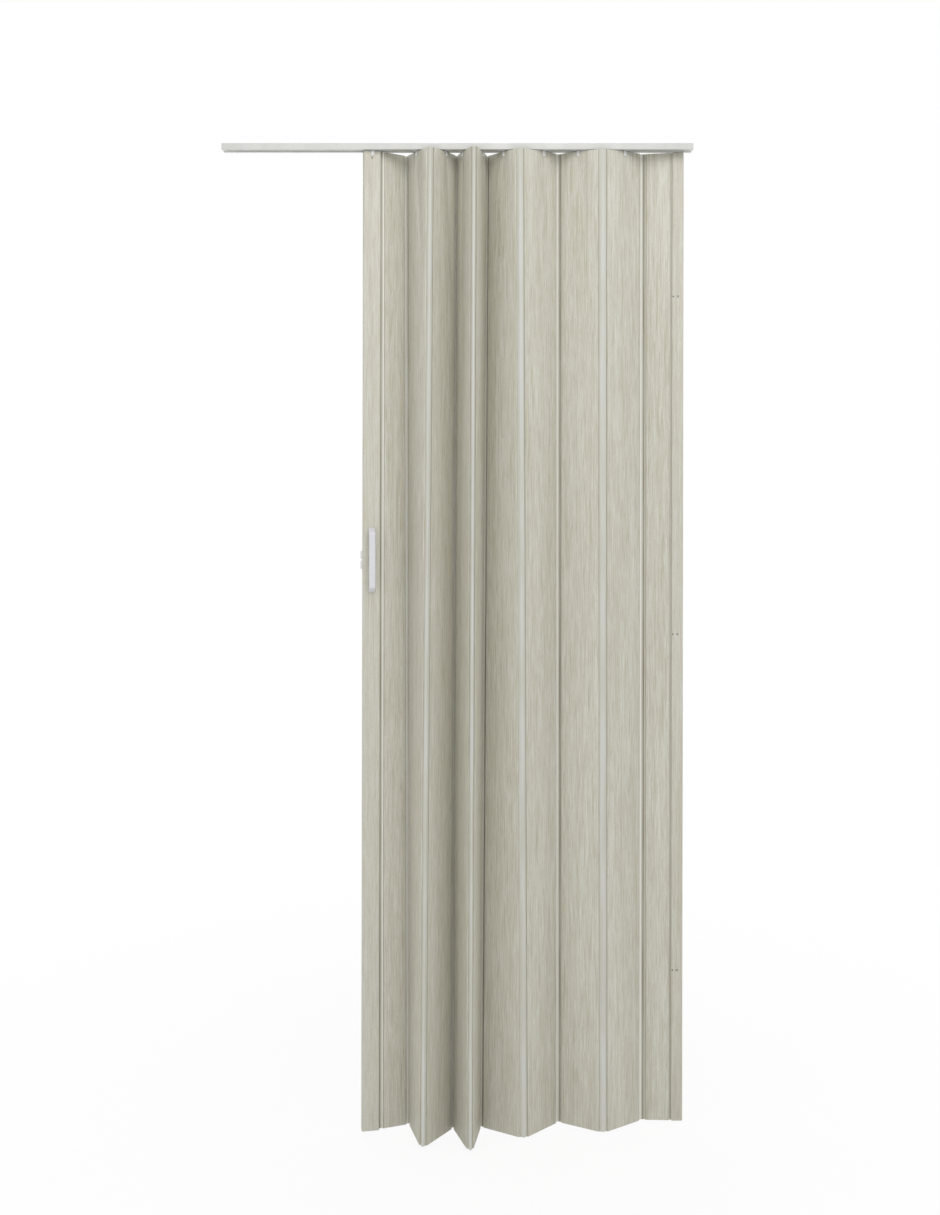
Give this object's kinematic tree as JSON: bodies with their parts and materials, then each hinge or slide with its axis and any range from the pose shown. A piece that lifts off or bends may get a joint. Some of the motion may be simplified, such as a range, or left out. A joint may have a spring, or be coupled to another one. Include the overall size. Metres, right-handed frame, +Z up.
{
  "type": "vinyl folding door",
  "caption": "Accordion folding door in pale wood-grain vinyl: hollow slats joined by flexible hinge strips, hung on glides in a white head track, with a bow handle and latch.",
  "frame": {"origin": "middle of the head track's flat top face, which is fixed up to the lintel", "axes": "+X along the track towards the fixed end post, +Y away from the side that the picture shows, +Z up"},
  "size_m": [0.968, 0.1553, 2.0265],
  "materials": {
    "track": "white extruded vinyl, satin",
    "slat": "pale grey-beige vinyl with a fine upright wood grain",
    "hinge": "flexible vinyl, a little lighter and smoother than the slats",
    "hanger": "white moulded nylon",
    "handle": "white moulded plastic, satin",
    "latch": "white moulded plastic"
  },
  "bodies": {
    "root": {"track_channel": "track", "lead_post": "slat", "lead_slat": "slat", "slat_1": "slat", "slat_2": "slat", "slat_3": "slat", "slat_4": "slat", "slat_5": "slat", "slat_6": "slat", "slat_7": "slat", "slat_8": "slat", "end_slat": "slat", "end_post": "slat", "lead_hinge": "hinge", "hinge_1": "hinge", "hinge_2": "hinge", "hinge_3": "hinge", "hinge_4": "hinge", "hinge_5": "hinge", "hinge_6": "hinge", "hinge_7": "hinge", "hinge_8": "hinge", "hinge_9": "hinge", "end_hinge": "hinge", "hanger_lead": "hanger", "hanger_1": "hanger", "hanger_2": "hanger", "hanger_3": "hanger", "hanger_4": "hanger", "hanger_5": "hanger", "hanger_6": "hanger", "hanger_7": "hanger", "hanger_8": "hanger", "handle_front": "handle", "handle_back": "handle", "latch": "latch"}
  },
  "joints": []
}
